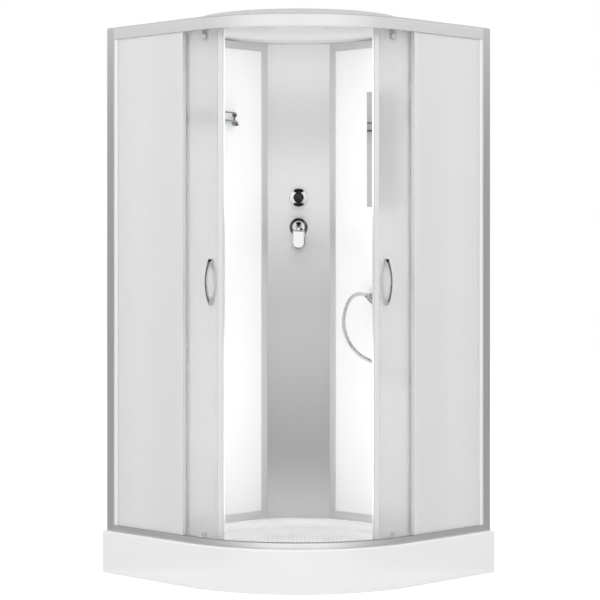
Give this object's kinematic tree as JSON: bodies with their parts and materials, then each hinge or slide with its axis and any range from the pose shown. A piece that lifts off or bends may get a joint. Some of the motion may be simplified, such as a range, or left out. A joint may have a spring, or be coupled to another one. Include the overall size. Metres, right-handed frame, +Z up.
{
  "type": "shower cabin",
  "caption": "Corner shower cabin with a rounded front: low tray, framed frosted glass with two curved sliding doors, back panels, mixer, hand shower, shelf, mirror and domed roof.",
  "frame": {"origin": "middle of the cabin's box on the floor", "axes": "+Z up, -Y towards the front of the doorway, +X to the right as seen from the front"},
  "size_m": [1.4142, 1.1862, 2.023],
  "materials": {
    "white_acrylic": "glossy white acrylic",
    "white_panel": "glossy white panel",
    "grey_panel": "glossy light grey panel",
    "satin_aluminium": "satin anodised",
    "frosted_glass": "frosted tempered glass",
    "clear_glass": "clear glass with polished edges",
    "white_gasket": "white elastomer",
    "clear_seal": "translucent vinyl",
    "chrome": "polished chrome plate",
    "chrome_hose": "smooth silver hose",
    "spray_plastic": "grey face with soft nozzles",
    "mirror_glass": "silvered glass",
    "brass": "cast brass",
    "pipe_plastic": "white moulded plastic",
    "nylon_wheel": "white nylon",
    "gear_steel": "satin stainless steel",
    "zinc_steel": "zinc plated steel",
    "black_rubber": "black moulded rubber"
  },
  "bodies": {
    "cabin": {"bottom_rail": "satin_aluminium", "centre_column": "grey_panel", "diverter_escutcheon": "chrome", "drain_flange": "chrome", "drain_gasket": "white_gasket", "drain_trap": "pipe_plastic", "foot_pads": "black_rubber", "foot_studs": "zinc_steel", "hose_nut": "chrome", "hose_outlet": "chrome", "left_back_panel": "white_panel", "left_fixed_edge_seal": "clear_seal", "left_fixed_glass": "frosted_glass", "left_glass_gasket": "white_gasket", "left_panel_frame": "satin_aluminium", "left_wall_profile": "satin_aluminium", "mirror": "mirror_glass", "mixer_escutcheon": "chrome", "outlet_pipe": "pipe_plastic", "rail_stops": "black_rubber", "right_back_panel": "white_panel", "right_fixed_edge_seal": "clear_seal", "right_fixed_glass": "frosted_glass", "right_glass_gasket": "white_gasket", "right_panel_frame": "satin_aluminium", "right_wall_profile": "satin_aluminium", "roof": "white_acrylic", "shelf_glass": "clear_glass", "shelf_rail": "chrome", "shower_bracket": "chrome", "shower_hose": "chrome_hose", "top_rail": "satin_aluminium", "tray": "white_acrylic", "tray_frame": "zinc_steel", "valve_body": "brass"},
    "right_door": {"right_door_glass": "frosted_glass", "right_edge_seal": "clear_seal", "right_handles": "chrome", "right_upper_hangers": "gear_steel", "right_lower_guides": "gear_steel"},
    "right_upper_lead_wheel": {"right_upper_lead_wheel": "nylon_wheel"},
    "right_upper_trail_wheel": {"right_upper_trail_wheel": "nylon_wheel"},
    "right_lower_lead_wheel": {"right_lower_lead_wheel": "nylon_wheel"},
    "right_lower_trail_wheel": {"right_lower_trail_wheel": "nylon_wheel"},
    "left_door": {"left_door_glass": "frosted_glass", "left_edge_seal": "clear_seal", "left_handles": "chrome", "left_upper_hangers": "gear_steel", "left_lower_guides": "gear_steel"},
    "left_upper_lead_wheel": {"left_upper_lead_wheel": "nylon_wheel"},
    "left_upper_trail_wheel": {"left_upper_trail_wheel": "nylon_wheel"},
    "left_lower_lead_wheel": {"left_lower_lead_wheel": "nylon_wheel"},
    "left_lower_trail_wheel": {"left_lower_trail_wheel": "nylon_wheel"},
    "mixer_swivel": {"mixer_cap": "chrome"},
    "mixer_lever": {"mixer_lever": "chrome"},
    "diverter": {"diverter_knob": "chrome"},
    "drain_cover": {"drain_cover": "chrome"},
    "hand_shower": {"hand_shower": "chrome", "spray_face": "spray_plastic", "hose_cone": "chrome"}
  },
  "joints": [
    {"name": "right_door_travel", "type": "hinge", "parent": "cabin", "child": "right_door", "pos_m": [-0.0752, 0.11542, 0], "axis": [0, 0, 1], "range_deg": [-23.93, 0]},
    {"name": "right_upper_lead_wheel_spin", "type": "hinge", "parent": "right_door", "child": "right_upper_lead_wheel", "pos_m": [0.33442, -0.42221, 1.9433], "axis": [0.5471, -0.8371, 0], "range_deg": [-1630, 1630]},
    {"name": "right_upper_trail_wheel_spin", "type": "hinge", "parent": "right_door", "child": "right_upper_trail_wheel", "pos_m": [0.47135, -0.27483, 1.9433], "axis": [0.8319, -0.5549, 0], "range_deg": [-1620, 1620]},
    {"name": "right_lower_lead_wheel_spin", "type": "hinge", "parent": "right_door", "child": "right_lower_lead_wheel", "pos_m": [0.33442, -0.42221, 0.1633], "axis": [0.5471, -0.8371, 0], "range_deg": [-2320, 2320]},
    {"name": "right_lower_trail_wheel_spin", "type": "hinge", "parent": "right_door", "child": "right_lower_trail_wheel", "pos_m": [0.47135, -0.27483, 0.1633], "axis": [0.8319, -0.5549, 0], "range_deg": [-2310, 2310]},
    {"name": "left_door_travel", "type": "hinge", "parent": "cabin", "child": "left_door", "pos_m": [0.0752, 0.11542, 0], "axis": [0, 0, -1], "range_deg": [-23.93, 0]},
    {"name": "left_upper_lead_wheel_spin", "type": "hinge", "parent": "left_door", "child": "left_upper_lead_wheel", "pos_m": [-0.33442, -0.42221, 1.9433], "axis": [-0.5471, -0.8371, 0], "range_deg": [-1630, 1630]},
    {"name": "left_upper_trail_wheel_spin", "type": "hinge", "parent": "left_door", "child": "left_upper_trail_wheel", "pos_m": [-0.47135, -0.27483, 1.9433], "axis": [-0.8319, -0.5549, 0], "range_deg": [-1620, 1620]},
    {"name": "left_lower_lead_wheel_spin", "type": "hinge", "parent": "left_door", "child": "left_lower_lead_wheel", "pos_m": [-0.33442, -0.42221, 0.1633], "axis": [-0.5471, -0.8371, 0], "range_deg": [-2320, 2320]},
    {"name": "left_lower_trail_wheel_spin", "type": "hinge", "parent": "left_door", "child": "left_lower_trail_wheel", "pos_m": [-0.47135, -0.27483, 0.1633], "axis": [-0.8319, -0.5549, 0], "range_deg": [-2310, 2310]},
    {"name": "mixer_temperature", "type": "hinge", "parent": "cabin", "child": "mixer_swivel", "pos_m": [0, 0.3974, 1.252], "axis": [0, -1, 0], "range_deg": [-45, 45]},
    {"name": "mixer_flow", "type": "hinge", "parent": "mixer_swivel", "child": "mixer_lever", "pos_m": [0, 0.3974, 1.252], "axis": [-1, 0, 0], "range_deg": [0, 25]},
    {"name": "diverter_turn", "type": "hinge", "parent": "cabin", "child": "diverter", "pos_m": [0, 0.4157, 1.367], "axis": [0, -1, 0], "range_deg": [-90, 90]},
    {"name": "drain_cover_lift", "type": "slide", "parent": "cabin", "child": "drain_cover", "axis": [0, 0, 1], "range_m": [0, 0.05]},
    {"name": "hand_shower_lift", "type": "slide", "parent": "cabin", "child": "hand_shower", "axis": [0, 0, 1], "range_m": [0, 0.06], "deforming": ["shower_hose"]}
  ],
  "couplings": [
    {"joint": "right_upper_lead_wheel_spin", "follows": "right_door_travel", "ratio": -67.413},
    {"joint": "right_upper_trail_wheel_spin", "follows": "right_door_travel", "ratio": -67.123},
    {"joint": "right_lower_lead_wheel_spin", "follows": "right_door_travel", "ratio": -96.305},
    {"joint": "right_lower_trail_wheel_spin", "follows": "right_door_travel", "ratio": -95.891},
    {"joint": "left_upper_lead_wheel_spin", "follows": "left_door_travel", "ratio": 67.413},
    {"joint": "left_upper_trail_wheel_spin", "follows": "left_door_travel", "ratio": 67.123},
    {"joint": "left_lower_lead_wheel_spin", "follows": "left_door_travel", "ratio": 96.305},
    {"joint": "left_lower_trail_wheel_spin", "follows": "left_door_travel", "ratio": 95.891}
  ]
}
